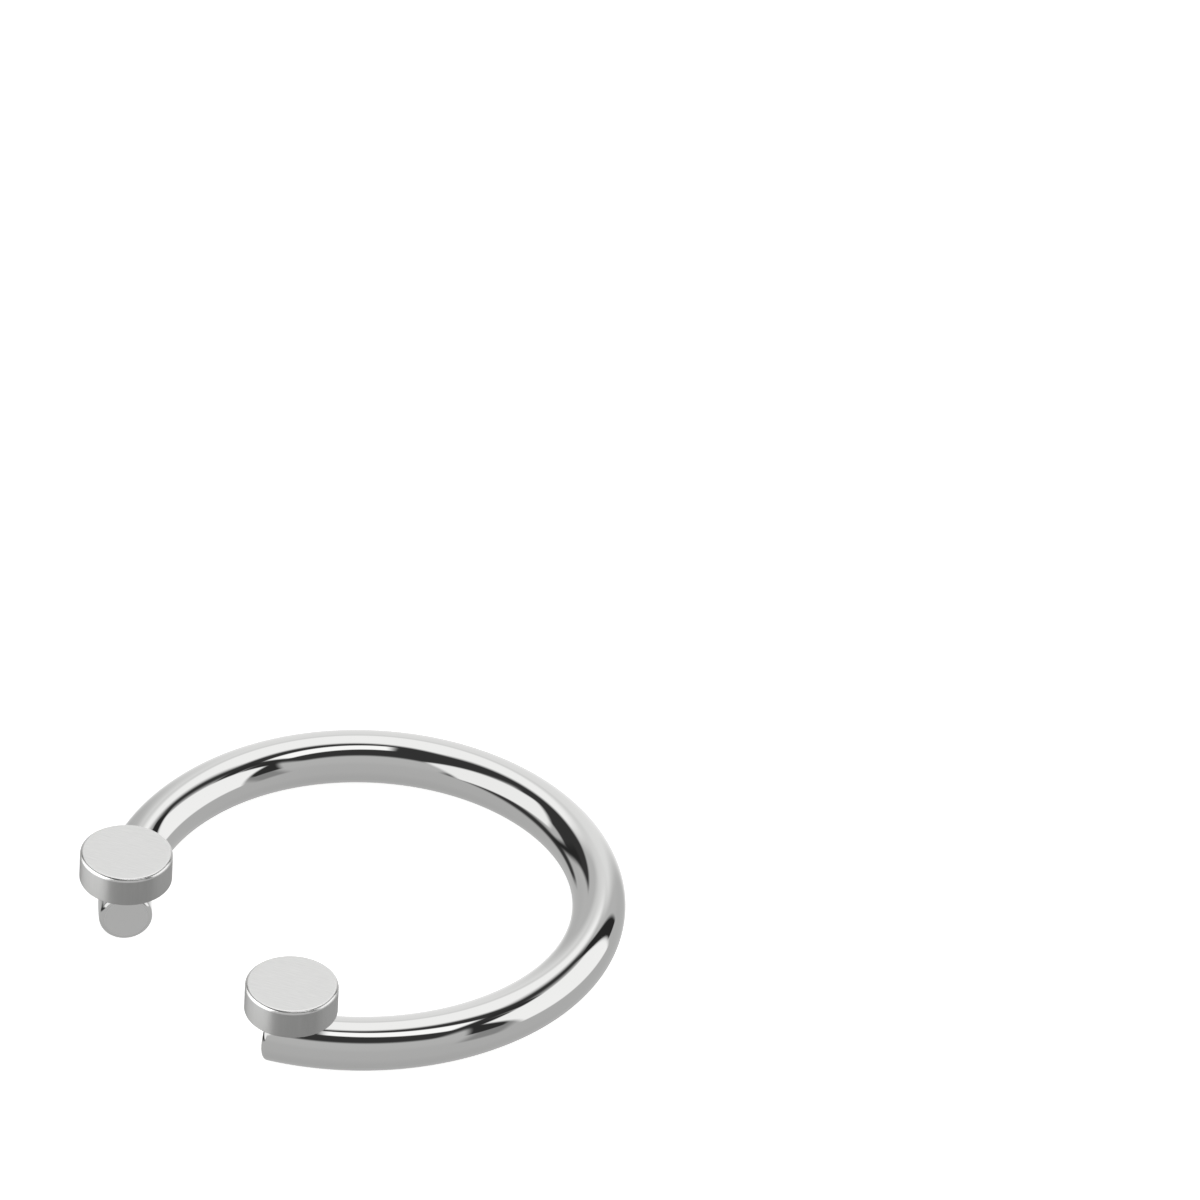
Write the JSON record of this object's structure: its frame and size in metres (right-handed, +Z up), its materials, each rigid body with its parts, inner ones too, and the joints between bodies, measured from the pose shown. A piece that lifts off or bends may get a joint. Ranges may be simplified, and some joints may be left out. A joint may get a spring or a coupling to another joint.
{
  "type": "horseshoe barbell",
  "caption": "Open ring of round polished steel wire for a piercing, with a flat satin disc screwed into the side of each end.",
  "frame": {"origin": "on the plane that the wire lies on, under the centre of the ring; the middle of the part's box is 0.12 mm from it towards +Y", "axes": "+Z up, along the axes of the ring and of both discs, towards the discs' faces; -Y through the middle of the opening; +X towards disc_right"},
  "size_m": [0.0126, 0.0124, 0.0023],
  "materials": {
    "mirror_steel": "drawn surgical steel wire, polished to a mirror, with plain satin cut ends",
    "satin_steel": "turned surgical steel, satin face and side with a polished rim"
  },
  "bodies": {
    "ring": {"wire": "mirror_steel"},
    "left_end": {"disc_left": "satin_steel"},
    "right_end": {"disc_right": "satin_steel"}
  },
  "joints": [
    {"name": "left_disc_lift", "type": "slide", "parent": "ring", "child": "left_end", "axis": [0, 0, 1], "range_m": [0, 0.0015]},
    {"name": "right_disc_lift", "type": "slide", "parent": "ring", "child": "right_end", "axis": [0, 0, 1], "range_m": [0, 0.0015]}
  ]
}
